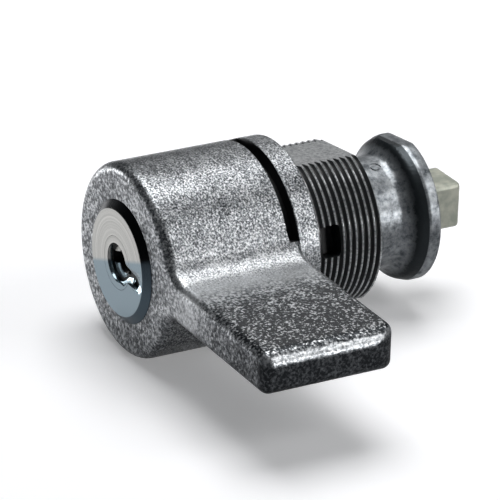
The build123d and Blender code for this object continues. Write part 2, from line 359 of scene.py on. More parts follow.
def combine(change: Change, base: Solid, *tools: Solid) -> Solid:
    """Cuts, joins or trims a solid with others, which are used up.

    Args:
        change: what the others do to it.
        base: the solid that is changed.
        tools: the solids that change it.

    Returns:
        The same object with its new mesh.
    """
    for tool in tools:
        step = base.modifiers.new("combine", "BOOLEAN")
        step.operation = change.value
        step.solver = "EXACT"
        step.object = tool
    graph = bpy.context.evaluated_depsgraph_get()
    mesh = bpy.data.meshes.new_from_object(base.evaluated_get(graph))
    base.modifiers.clear()
    base.data = mesh
    for tool in tools:
        bpy.data.objects.remove(tool)
    return base


def cut(base: Solid, *tools: Solid) -> Solid:
    """Cuts solids out of another one."""
    return combine(Change.CUT, base, *tools)


def cad_copy(node: str) -> Solid:
    """Copies a CAD node's mesh in millimetres, with its seams closed.

    Args:
        node: the node's name.

    Returns:
        The copy as an object.
    """
    shape = bmesh.new()
    shape.from_mesh(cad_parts[node].data)
    bmesh.ops.scale(shape, vec=(1 / MM,) * 3, verts=shape.verts)
    bmesh.ops.remove_doubles(shape, verts=shape.verts, dist=1e-3)
    bmesh.ops.dissolve_limit(shape, angle_limit=math.radians(0.5), verts=shape.verts, edges=shape.edges)
    return object_from(shape, node)


def finish_piece(
    obj: Solid, name: str, body: str, finish: Material, crease: float = 30.0
) -> Solid:
    """Turns a solid in millimetres into a dressed piece of the model.

    Args:
        obj: the solid.
        name: the piece's name.
        body: the CAD body it rides on.
        finish: its material.
        crease: edges sharper than this angle in degrees stay sharp.

    Returns:
        The finished piece.
    """
    obj.name = name
    obj.data.name = name
    obj.data.transform(Matrix.Scale(MM, 4))
    obj.data.materials.clear()
    obj.data.materials.append(finish)
    for face in obj.data.polygons:
        face.use_smooth = True
        face.material_index = 0
    obj.data.set_sharp_from_angle(angle=math.radians(crease))
    shade = obj.modifiers.new("even shading", "WEIGHTED_NORMAL")
    shade.keep_sharp = True
    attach(obj, body)
    log.info("%s: %d faces", name, len(obj.data.polygons))
    return obj


def repaint(obj: Solid, finish: Material, belongs: Callable[[Face], bool]) -> None:
    """Gives some faces of a finished piece a second finish.

    Args:
        obj: the piece.
        finish: the second finish.
        belongs: tells whether a face gets it.
    """
    obj.data.materials.append(finish)
    for face in obj.data.polygons:
        if belongs(face):
            face.material_index = 1


def dress(finish: Material, *nodes: str) -> None:
    """Gives CAD nodes a finish.

    Args:
        finish: the material.
        nodes: the nodes' names.
    """
    for node in nodes:
        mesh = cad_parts[node].data
        mesh.materials.clear()
        mesh.materials.append(finish)
        log.info("%s dressed", node)


# Finishes


def linear(colour: str) -> tuple[float, float, float, float]:
    """Turns an sRGB hex colour into linear RGBA."""
    parts = [int(colour[at : at + 2], 16) / 255 for at in (1, 3, 5)]
    return (*[part / 12.92 if part <= 0.04045 else ((part + 0.055) / 1.055) ** 2.4 for part in parts], 1.0)


def add_node(
    tree: bpy.types.NodeTree,
    kind: str,
    inputs: dict | Sequence = (),
    stops: Sequence[tuple[float, str]] = (),
    **settings: str,
) -> Node:
    """Adds a node with its settings and links.

    Args:
        tree: the node tree.
        kind: the node's type name.
        inputs: values by the input's name or number, or in the inputs' own order; a value is
            a socket, a node whose first active output is meant, or a plain value.
        stops: places and hex colours, where the node is a colour ramp.
        settings: properties of the node.

    Returns:
        The new node.
    """
    node = tree.nodes.new(kind)
    for key, value in settings.items():
        setattr(node, key, value)
    for key, value in inputs.items() if isinstance(inputs, dict) else enumerate(inputs):
        if isinstance(value, Node):
            value = next(socket for socket in value.outputs if socket.enabled)
        if isinstance(value, bpy.types.NodeSocket):
            tree.links.new(value, node.inputs[key])
        else:
            node.inputs[key].default_value = value
    for place, _ in stops[2:]:
        node.color_ramp.elements.new(place)
    for index, (place, colour) in enumerate(stops):
        node.color_ramp.elements[index].position = place
        node.color_ramp.elements[index].color = linear(colour)
    return node


def new_material(name: str) -> tuple[Material, AddNode]:
    """Starts a material without nodes.

    Args:
        name: the material's name.

    Returns:
        The material, and what adds a node to it.
    """
    material = bpy.data.materials.new(name)
    material.use_nodes = True
    material.node_tree.nodes.clear()
    return material, partial(add_node, material.node_tree)


def metres(span: Pair) -> Pair:
    """Turns a pair of lengths from millimetres to metres."""
    return span[0] * MM, span[1] * MM


def from_axis(node: AddNode, place: bpy.types.NodeSocket) -> Node:
    """The distance from the lock axis at a place."""
    across = node("ShaderNodeVectorMath", (place, (1, 0, 1)), operation="MULTIPLY")
    return node("ShaderNodeVectorMath", (across,), operation="LENGTH")


def above_line(node: AddNode, place: bpy.types.NodeSocket, degrees: float) -> Node:
    """The height of a place above a line through the axis that is turned by some degrees."""
    up = about_lock(degrees) @ Vector((0, 0, 1))
    return node("ShaderNodeVectorMath", (place, up), operation="DOT_PRODUCT")


class Finish:
    """A finish that covers a piece with one surface."""

    def surface(self, node: AddNode, place: bpy.types.NodeOutputs) -> dict:
        """Works out the surface's inputs, which each finish does in its own way."""
        raise NotImplementedError

    def build(self, name: str) -> Material:
        """Makes the material.

        Args:
            name: the material's name.

        Returns:
            The material.
        """
        material, node = new_material(name)
        place = node("ShaderNodeTexCoord").outputs
        skin = node("ShaderNodeBsdfPrincipled", self.surface(node, place))
        node("ShaderNodeOutputMaterial", {"Surface": skin})
        return material


@dataclass(frozen=True)
class HammeredPowderCoat(Finish):
    """Silver-vein powder coat, baked on a zinc die-casting: bright flakes in a dark binder.

    Args:
        binder: colour between the flakes.
        middle: colour of flakes that lie under the binder.
        flake: colour of the flakes on top.
        flake_mm: size of one flake.
        grain: noise cells to one flake.
        coarser: how much larger the flakes are drawn on faces that are seen at a slant.
        slanted: where along the wing all faces begin to count as such, and where they do.
        drift: how much the flakes gather and thin out over ten flakes' width.
        bump_mm: height of the orange-peel skin.
        thin: where along the wing the painted shade begins, and where it is full.
        far_shade_share: how much darker the painted shade makes the sides and the upper face there.
        contrast: how strongly flakes and binder differ on the hub and on the wing's far upper face.
        root_band: where along the wing a painted highlight lies over the root's fillet, and how far to each
            side.
        root_highlight_share: how much lighter the painted highlight makes it there.
        root_highlight_contrast: how much of the contrast is left there.
        tip: where along the wing the tip's rounding begins, and where it counts in full.
        tip_light_and_shade: how much painted shade darkens the end face and lower half there, and how much
            painted light brightens the upper half.
        tip_contrast: how much of the contrast is left there.
    """

    binder: str = "#2b2e31"
    middle: str = "#7b7e81"
    flake: str = "#dcdee0"
    flake_mm: float = 0.25
    grain: float = 0.9
    coarser: float = 1.5
    slanted: Pair = (18.0, 22.0)
    drift: float = 0.2
    bump_mm: float = 0.055
    thin: Pair = (21.0, 33.0)
    far_shade_share: Pair = (0.035, 0.18)
    contrast: Pair = (0.8, 2.5)
    root_band: Pair = (19.0, 8.0)
    root_highlight_share: float = 0.085
    root_highlight_contrast: float = 0.5
    tip: Pair = (39.0, 39.6)
    tip_light_and_shade: Pair = (-0.0595, 0.085)
    tip_contrast: float = 0.55

    def surface(self, node: AddNode, place: bpy.types.NodeOutputs) -> dict:
        """Works out the flakes' pattern, with painted shade on the far wing, a painted highlight over the
        root, and painted light and shade on the tip.

        Args:
            node: adds a node to the material.
            place: the piece's coordinates.

        Returns:
            The surface's inputs by name.
        """
        # The eye sees silver flecks that sparkle in a near-black skin. The real flakes are too
        # fine to show at this picture's size, so they are drawn several times as coarse.
        here = place["Object"]
        looks = node("ShaderNodeSeparateXYZ", (place["Normal"],)).outputs
        frontal = node("ShaderNodeMath", (looks["Y"],), operation="ABSOLUTE")
        along = node("ShaderNodeSeparateXYZ", (here,)).outputs["X"]
        # Each row: what is measured, where it counts as none, and where it counts in full
        rows = {
            "upward": (looks["Z"], 0.7, 0.95),
            "frontal": (frontal, 0.5, 0.9),
            "on wing": (along, *metres(self.slanted)),
            "far out": (along, *metres(self.thin)),
            "at tip": (along, *metres(self.tip)),
        }
        share = {name: node("ShaderNodeMapRange", row) for name, row in rows.items()}
        slanted = node("ShaderNodeMath", (share["frontal"], share["on wing"]), operation="MAXIMUM")
        far_upward = node("ShaderNodeMath", (share["far out"], share["upward"]), operation="MULTIPLY")
        # Painted highlight: a band over the root's fillet is painted lighter, with softer contrast.
        root_band, root_band_half = metres(self.root_band)
        from_root_band = node("ShaderNodeMath", (along, root_band), operation="SUBTRACT")
        aside = node("ShaderNodeMath", (from_root_band,), operation="ABSOLUTE")
        # Each row: what is measured, its first and last value, and what the two become
        rows = {
            "thin": (share["upward"], 0, 1, *self.far_shade_share),
            "root_highlight": (aside, 0, root_band_half, self.root_highlight_share, 0),
            "calm": (aside, 0, root_band_half, self.root_highlight_contrast, 1),
            "strong": (far_upward, 0, 1, *self.contrast),
            "calm tip": (share["at tip"], 0, 1, 1, self.tip_contrast),
            "closed": (looks["Z"], 0.1, 0.4, *self.tip_light_and_shade),
        }
        share |= {name: node("ShaderNodeMapRange", row) for name, row in rows.items()}

        grains = [
            node(
                "ShaderNodeTexNoise",
                {"Vector": here, "Scale": self.grain / (size * MM), "Detail": 2.5, "Roughness": 0.65},
            )
            for size in (self.flake_mm, self.flake_mm * self.coarser)
        ]
        flakes = node("ShaderNodeMix", {0: slanted, 2: grains[0], 3: grains[1]})
        ten_flakes = 10 * self.flake_mm * MM
        wide = node("ShaderNodeTexNoise", {"Vector": here, "Scale": 1 / ten_flakes, "Detail": 2.0})
        drift = node("ShaderNodeMath", (wide, 0.5), operation="SUBTRACT")
        mixed = node("ShaderNodeMath", (drift, self.drift, flakes), operation="MULTIPLY_ADD")

        shown = node("ShaderNodeMath", (mixed, 0.5), operation="SUBTRACT")
        for part in ("calm", "strong", "calm tip"):
            shown = node("ShaderNodeMath", (shown, share[part]), operation="MULTIPLY")
        # Painted shade: the far wing is painted darker, most on its upper face.
        painted_far_shade = node("ShaderNodeMath", (share["far out"], share["thin"]), operation="MULTIPLY")
        # Painted light and shade on the tip: darker on its end face and lower half, lighter on its upper
        # half.
        closed = node("ShaderNodeMath", (share["at tip"], share["closed"]), operation="MULTIPLY")
        sums = (("ADD", 0.5), ("SUBTRACT", painted_far_shade), ("ADD", closed), ("ADD", share["root_highlight"]))
        for operation, value in sums:
            shown = node("ShaderNodeMath", (shown, value), operation=operation)
        stops = ((0.38, self.binder), (0.5, self.middle), (0.63, self.flake))
        relief = {"Height": mixed, "Distance": self.bump_mm * MM, "Strength": 1.0}
        return {
            "Base Color": node("ShaderNodeValToRGB", (shown,), stops),
            "Metallic": 0.82,
            "Roughness": 0.32,
            "Normal": node("ShaderNodeBump", relief),
        }


@dataclass(frozen=True)
class CastZinc(Finish):
    """Bare zinc die-casting, with a painted dark reflection in the flare before the rim.

    Args:
        dark: colour of the dull patches.
        light: colour of the bright patches.
        dark_reflection: colour of the painted dark reflection in the flare.
        patch_mm: size of one patch.
        ring: where the painted dark reflection begins and ends along the axis.
        ragged_mm: how far its front edge wanders.
        bump_mm: height of the cast skin.
    """

    dark: str = "#595e63"
    light: str = "#b4b8bb"
    dark_reflection: str = "#34393c"
    patch_mm: float = 1.1
    ring: Pair = (17.7, 19.6)
    ragged_mm: float = 1.6
    bump_mm: float = 0.15

    def surface(self, node: AddNode, place: bpy.types.NodeOutputs) -> dict:
        """Works out the cloudy metal and the painted dark reflection.

        Args:
            node: adds a node to the material.
            place: the piece's coordinates.

        Returns:
            The surface's inputs by name.
        """
        # The eye sees dull grey clouds with soft highlights, as metal has that cooled in a mould.
        here = place["Object"]
        cloud = node(
            "ShaderNodeTexNoise",
            {"Vector": here, "Scale": 1 / (self.patch_mm * MM), "Detail": 6.0, "Roughness": 0.68},
        )
        metal = node("ShaderNodeValToRGB", (cloud,), ((0.35, self.dark), (0.66, self.light)))
        # A ring of painted dark reflection in the flare, with a wandering front edge.
        along = node("ShaderNodeSeparateXYZ", (here,)).outputs["Y"]
        wandering = node("ShaderNodeMath", (cloud, self.ragged_mm * MM, along), operation="MULTIPLY_ADD")
        begin, end = metres((self.ring[0] + self.ragged_mm / 2, self.ring[1]))
        after = node("ShaderNodeMapRange", (wandering, begin, begin + 0.5 * MM))
        before = node("ShaderNodeMapRange", (along, end, end + 0.1 * MM, 1, 0))
        in_dark_reflection = node("ShaderNodeMath", (after, before), operation="MULTIPLY")
        colours = {0: in_dark_reflection, 6: metal, 7: linear(self.dark_reflection)}
        relief = {"Height": cloud, "Distance": self.bump_mm * MM, "Strength": 0.5}
        return {
            "Base Color": node("ShaderNodeMix", colours, data_type="RGBA"),
            "Metallic": 0.75,
            "Roughness": 0.32,
            "Normal": node("ShaderNodeBump", relief),
        }


@dataclass(frozen=True)
class PaintedShadeThread(Finish):
    """A cast thread, with painted shade in its grooves, a painted highlight on its crests and a mix of the
    two on its flats.

    Args:
        groove: colour of the painted shade in the grooves.
        crest: colour of the painted highlight on the crests.
        dull: colour of its duller specks.
        highlight_mm: how far down the flank the painted highlight reaches.
        flat_share: how much of the painted highlight shows on the flats.
        speck_mm: size of one speck.
    """

    groove: str = "#17191b"
    crest: str = "#eef0f1"
    dull: str = "#8d9093"
    highlight_mm: float = 0.23
    flat_share: float = 0.5
    speck_mm: float = 0.5

    def surface(self, node: AddNode, place: bpy.types.NodeOutputs) -> dict:
        """Works out where the painted highlight lies.

        Args:
            node: adds a node to the material.
            place: the piece's coordinates.

        Returns:
            The surface's inputs by name.
        """
        # The eye sees thin bright lines between black grooves, and grey flats: painted highlight on the
        # crests, painted shade in the grooves.
        here = place["Object"]
        # Painted highlight on the crests and partly on the flats; painted shade everywhere else.
        low = (THREAD_CREST - self.highlight_mm) * MM
        crest_highlight = node("ShaderNodeMapRange", (from_axis(node, here), low, low + 0.1 * MM))
        height = node("ShaderNodeMath", (above_line(node, here, FLAT_TURN),), operation="ABSOLUTE")
        edge = metres((FLAT_DISTANCE - 0.06, FLAT_DISTANCE - 0.02))
        on_flat = node("ShaderNodeMapRange", (height, *edge, 0, self.flat_share))
        bare = node("ShaderNodeMath", (crest_highlight, on_flat), operation="MAXIMUM")
        speck = node(
            "ShaderNodeTexNoise",
            {"Vector": here, "Scale": 1 / (self.speck_mm * MM), "Detail": 4.0, "Roughness": 0.7},
        )
        metal = node("ShaderNodeValToRGB", (speck,), ((0.35, self.dull), (0.6, self.crest)))
        colours = {0: bare, 6: linear(self.groove), 7: metal}
        return {
            "Base Color": node("ShaderNodeMix", colours, data_type="RGBA"),
            "Metallic": node("ShaderNodeMath", (bare, 0.5), operation="MULTIPLY"),
            "Roughness": 0.38,
        }


@dataclass(frozen=True)
class PlainMetal(Finish):
    """Plated, bare or coated metal, or rubber, with a fine grain.

    Args:
        dark: colour of the dull grain.
        light: colour of the bright grain.
        grain_mm: size of the grain.
        roughness: of the surface.
        metallic: share of metal.
    """

    dark: str
    light: str
    grain_mm: float
    roughness: float
    metallic: float = 1.0

    def surface(self, node: AddNode, place: bpy.types.NodeOutputs) -> dict:
        """Works out the grain.

        Args:
            node: adds a node to the material.
            place: the piece's coordinates.

        Returns:
            The surface's inputs by name.
        """
        scale = 1 / (self.grain_mm * MM)
        grain = node("ShaderNodeTexNoise", {"Vector": place["Object"], "Scale": scale, "Detail": 4.0})
        return {
            "Base Color": node("ShaderNodeValToRGB", (grain,), ((0.38, self.dark), (0.62, self.light))),
            "Metallic": self.metallic,
            "Roughness": self.roughness,
        }


@dataclass(frozen=True)
class TurnedNickel(Finish):
    """Nickel plate over a turned face, with fine rings round the lock axis, and painted reflections on its
    lower half and its bevel.

    Args:
        dark: colour in the turning marks.
        light: colour between them.
        lower_reflection: colour of the lower half, a painted slate-blue reflection.
        ring_mm: spacing of the turning marks.
        lower_reflection_mm: how wide the painted reflection's edge fades.
        lower_reflection_turn: angle of that edge in degrees.
        bevel_mm: radius where the bevel round the face begins.
        bevel_dark_reflection: colour of the bevel above that edge, a painted dark reflection.
        bevel_lower_reflection: colour of the bevel below it, a painted slate-blue reflection.
        bump_mm: depth of the turning marks.
    """

    dark: str = "#aaaaa6"
    light: str = "#c8c7c3"
    lower_reflection: str = "#8798a1"
    ring_mm: float = 0.35
    lower_reflection_mm: float = 0.6
    lower_reflection_turn: float = 20.0
    bevel_mm: float = 7.72
    bevel_dark_reflection: str = "#2c2e30"
    bevel_lower_reflection: str = "#5f6d77"
    bump_mm: float = 0.02

    def surface(self, node: AddNode, place: bpy.types.NodeOutputs) -> dict:
        """Works out the turning marks, and the painted reflections on the lower half and the bevel.

        Args:
            node: adds a node to the material.
            place: the piece's coordinates.

        Returns:
            The surface's inputs by name.
        """
        # The eye sees a bright, satin disc whose lower half is slate blue, in a dark crescent; the slate blue
        # and the crescent are painted reflections.
        # Real turning marks are too fine to show, so they are drawn a few times as coarse.
        here = place["Object"]
        radius = from_axis(node, here)
        line = node("ShaderNodeCombineXYZ", (radius,))
        marks = node("ShaderNodeTexNoise", {"Vector": line, "Scale": 1 / (self.ring_mm * MM), "Detail": 3.0})
        rubbed = node("ShaderNodeValToRGB", (marks,), ((0.38, self.dark), (0.62, self.light)))
        bevel_from = self.bevel_mm * MM
        on_bevel = node("ShaderNodeMapRange", (radius, bevel_from, bevel_from + 0.05 * MM))
        # Above the edge the face shows its turned colour, below it the painted reflection.
        clear = node("ShaderNodeMapRange", (above_line(node, here, self.lower_reflection_turn), 0, self.lower_reflection_mm * MM))
        face = {0: clear, 6: linear(self.lower_reflection), 7: rubbed}
        bevel = {0: clear, 6: linear(self.bevel_lower_reflection), 7: linear(self.bevel_dark_reflection)}
        face, bevel = (node("ShaderNodeMix", colours, data_type="RGBA") for colours in (face, bevel))
        relief = {"Height": marks, "Distance": self.bump_mm * MM, "Strength": 0.3}
        return {
            "Base Color": node("ShaderNodeMix", {0: on_bevel, 6: face, 7: bevel}, data_type="RGBA"),
            "Metallic": 1.0,
            "Roughness": 0.22,
            "Normal": node("ShaderNodeBump", relief),
        }


class Finishes:
    """Every finish of the lock, made once."""

    def __init__(self) -> None:
        """Builds the materials."""
        self.handle = HammeredPowderCoat().build("silver_vein_powder_coat")
        self.casting = CastZinc().build("bare_zinc_casting")
        self.thread = PaintedShadeThread().build("thread_painted_shade")
        self.plate = TurnedNickel().build("turned_nickel_plate")
        # Yellow passivation turns cold-drawn steel to a matt, straw-tinted grey.
        passivated = PlainMetal("#a4a89c", "#c3c4b6", grain_mm=1.6, roughness=0.42, metallic=0.5)
        self.passivated = passivated.build("yellow_passivated_steel")
        # Phosphate and lacquer leave a black that only glints at its edges. The same black is painted shade
        # on walls and floors where light does not reach.
        black = PlainMetal("#0c0c0d", "#191a1b", grain_mm=0.5, roughness=0.5, metallic=0.3)
        self.black = black.build("black_phosphated_steel_and_painted_shade")
        # Zinc plate gives a cool, clear grey with soft highlights.
        zinc = PlainMetal("#8d9194", "#b9bcbd", grain_mm=0.7, roughness=0.35)
        self.zinc = zinc.build("zinc_plated_steel")
        # Moulded rubber is a dull black without highlights.
        rubber = PlainMetal("#0b0b0b", "#151515", grain_mm=0.5, roughness=0.7, metallic=0.0)
        self.rubber = rubber.build("black_rubber")
        # Punched brass sheet is a warm yellow with a clear shine.
        brass = PlainMetal("#a88445", "#cbab68", grain_mm=0.6, roughness=0.3)
        self.brass = brass.build("plain_brass")


# The lock's pieces


@dataclass
class Handle:
    """The die-cast hub with its wing.

    Args:
        finishes: the lock's finishes.
        half_height: half the wing's thickness.
        front_round: radius of the front edges.
        rear_round: radius of the rear edges, on the hub and on the wing.
        round_grows: where the one turns into the other, as shares of the hub's radius.
        tip_corner: radius of the tip's rear corner, seen from above.
        root: fillet radius above and below the wing's root.
        tip: radius of the tip's upper and lower edge.
        slot_span: first and last angle of the stop slot.
        boss_wall: wall of the boss round the lock's pocket.
        screw_seat: where the screw's head seats along the axis.
        screw_hole: radius of the hole for its shank.
        pin_hole: radius of the hole for the lock body's pin.
        edge_steps: steps of each edge's rounding.
        root_steps: steps of the fillet at the wing's root.
        side_steps: steps along the wing.
        tip_steps: steps round the tip.
        hub_steps: steps round the hub.
    """

    finishes: Finishes
    half_height: float = 3.05
    front_round: float = 1.45
    rear_round: Pair = (0.25, 1.0)
    round_grows: Pair = (0.85, 1.15)
    tip_corner: float = 3.0
    root: Pair = (6.0, 2.0)
    tip: Pair = (2.2, 1.7)
    slot_span: Pair = (19.0, 142.0)
    boss_wall: float = 1.0
    screw_seat: float = -6.9
    screw_hole: float = 2.15
    pin_hole: float = 1.0
    edge_steps: int = 9
    root_steps: int = 14
    side_steps: int = 24
    tip_steps: int = 12
    hub_steps: int = 150

    def __post_init__(self) -> None:
        """Reads the sizes that the frame gives."""
        box = Extent.of("handle")
        self.radius = box.radius
        self.reach = box.high.x
        self.front = box.low.y
        self.rear = box.high.y

    def arc(self, centre: Pair, radius: float, span: Pair, steps: int, hollow: bool = False) -> Outline:
        """Outline points with their outward directions along one arc.

        Args:
            centre: (x, z) of the arc.
            radius: of the arc.
            span: first and last angle in degrees.
            steps: pieces of the arc.
            hollow: True where the solid lies outside the arc.

        Returns:
            (x, z, outward x, outward z) for each point.
        """
        sign = -1 if hollow else 1
        points = []
        for turn in angles(*span, steps):
            x, z = math.cos(turn), math.sin(turn)
            points.append((centre[0] + radius * x, centre[1] + radius * z, sign * x, sign * z))
        return points

    def wing_side(self, root: float, tip: float) -> Outline:
        """One side of the wing as if above the axis, from the hub's tangent point to the tip's middle.

        Args:
            root: fillet radius at the hub.
            tip: radius of the tip's edge.

        Returns:
            Outline points with their outward directions.
        """
        half = self.half_height
        centre_x = math.sqrt((self.radius + root) ** 2 - (half + root) ** 2)
        lean = math.degrees(math.atan2(half + root, centre_x))
        fillet = (180 + lean, 270)
        points = self.arc((centre_x, half + root), root, fillet, self.root_steps, hollow=True)
        line_end = self.reach - tip
        for share in spaced(0, 1, self.side_steps)[1:-1]:
            x = centre_x + (line_end - centre_x) * (1 - (1 - share) ** 2)
            points.append((x, half, 0.0, 1.0))
        return points + self.arc((line_end, half - tip), tip, (90, 0), self.tip_steps)

    def outline(self) -> tuple[Outline, int]:
        """The outline in the plane across the lock axis.

        Returns:
            The points, counted from the hub over the upper side to the tip and
            back below, and how many of them make one side of the wing.
        """
        top, low = (self.wing_side(root, tip) for root, tip in zip(self.root, self.tip))
        low = [(x, -z, out_x, -out_z) for x, z, out_x, out_z in low]
        start = math.degrees(math.atan2(low[0][1], low[0][0])) + 360
        end = math.degrees(math.atan2(top[0][1], top[0][0]))
        hub = self.arc((0, 0), self.radius, (start, end), self.hub_steps)[1:-1]
        return top + low[::-1] + hub, len(top)

    def corner_drop(self, x: float) -> float:
        """How far the rear face curves forward near the tip."""
        over = min(self.tip_corner, max(0.0, x - (self.reach - self.tip_corner)))
        return self.tip_corner - math.sqrt(self.tip_corner**2 - over**2)

    def rear_radius(self, x: float) -> float:
        """The rear edge's radius, which grows from the hub to the wing.

        Args:
            x: the place along the wing.

        Returns:
            The radius there.
        """
        begin, end = (self.radius * share for share in self.round_grows)
        share = min(1.0, max(0.0, (x - begin) / (end - begin)))
        share = share * share * (3 - 2 * share)
        return self.rear_round[0] + (self.rear_round[1] - self.rear_round[0]) * share

    def skin(self) -> Solid:
        """Lofts the outer form with all its roundings, from the rear face to the front one.

        Returns:
            The solid, without its cavities.
        """
        outline, side = self.outline()
        loops = []
        for turn in angles(0, 90, self.edge_steps):
            loop = []
            for x, z, out_x, out_z in outline:
                radius = self.rear_radius(x)
                inset = radius * (1 - math.sin(turn))
                edge_x = x - out_x * inset
                y = self.rear - self.corner_drop(edge_x) - radius * (1 - math.cos(turn))
                loop.append((edge_x, y, z - out_z * inset))
            loops.append(loop)
        for turn in angles(0, 90, self.edge_steps):
            inset = self.front_round * (1 - math.cos(turn))
            y = self.front + self.front_round * (1 - math.sin(turn))
            loops.append([(x - out_x * inset, y, z - out_z * inset) for x, z, out_x, out_z in outline])
        last = 2 * side - 1
        rear_faces = [(index, index + 1, last - 1 - index, last - index) for index in range(side - 1)]
        rear_faces.append((0, *range(last, len(outline))))
        return loft(loops, "handle_skin", first_faces=rear_faces)

    def cavities(self) -> list[Solid]:
        """Makes the cutters for what the casting holds.

        Returns:
            The lock pocket, the bearing, the stop slot, the bolt groove, the head's seat,
            the shank's hole, the spindle's socket and the pin's hole.
        """
        nodes = ("lock_body", "spindle_screw", "spindle", "locking_bolt", "housing", "lock_body_pin")
        lock, screw, spindle, bolt, housing, pin = map(Extent.of, nodes)
        pocket = lock.radius + GAP
        boss = pocket + self.boss_wall
        bearing = self.radius - SKIRT_WALL
        socket = SQUARE / 2 + GAP
        groove = bolt.high.x + 2 * GAP
        groove_low = (-groove, lock.high.y - PAST, 4 * GAP - pocket)
        groove_high = (groove, bolt.high.y + GAP, boss + 4 * GAP)
        slot_radii = (self.radius + 3 * PAST, bearing - RUN_GAP)
        beyond = self.rear + 2 * PAST
        pin_y = (pin.low.y + pin.high.y) / 2
        return [
            bar(pocket, self.front - 2 * PAST, lock.high.y),
            tube(bearing, boss, housing.low.y - 4 * GAP, beyond),
            sector(slot_radii, (self.rear - STOP_DEPTH, beyond), self.slot_span),
            block(groove_low, groove_high),
            bar(screw.radius + 4 * GAP, lock.high.y - PAST, self.screw_seat),
            bar(self.screw_hole, self.screw_seat - 12 * GAP, beyond),
            block((-socket, spindle.low.y - 3 * GAP, -socket), (socket, beyond, socket)),
            bar(self.pin_hole, -self.radius - 2 * PAST, PAST - pocket, Axis.UPRIGHT, pin_y),
        ]

    def in_slot(self, face: Face) -> bool:
        """Tells the stop slot's walls, which get black as painted shade.

        Args:
            face: a face of the finished piece.

        Returns:
            True on those walls.
        """
        centre = face.center / MM
        inward = math.hypot(centre.x, centre.z) < self.radius - GAP
        return inward and self.rear - STOP_DEPTH - GAP < centre.y < self.rear - GAP

    def build(self) -> None:
        """Makes the handle and takes the place of its CAD node."""
        solid = cut(self.skin(), *self.cavities())
        piece = finish_piece(solid, "wing_handle", "handle", self.finishes.handle)
        # The stop slot's walls get black as painted shade.
        repaint(piece, self.finishes.black, self.in_slot)
        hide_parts("handle")


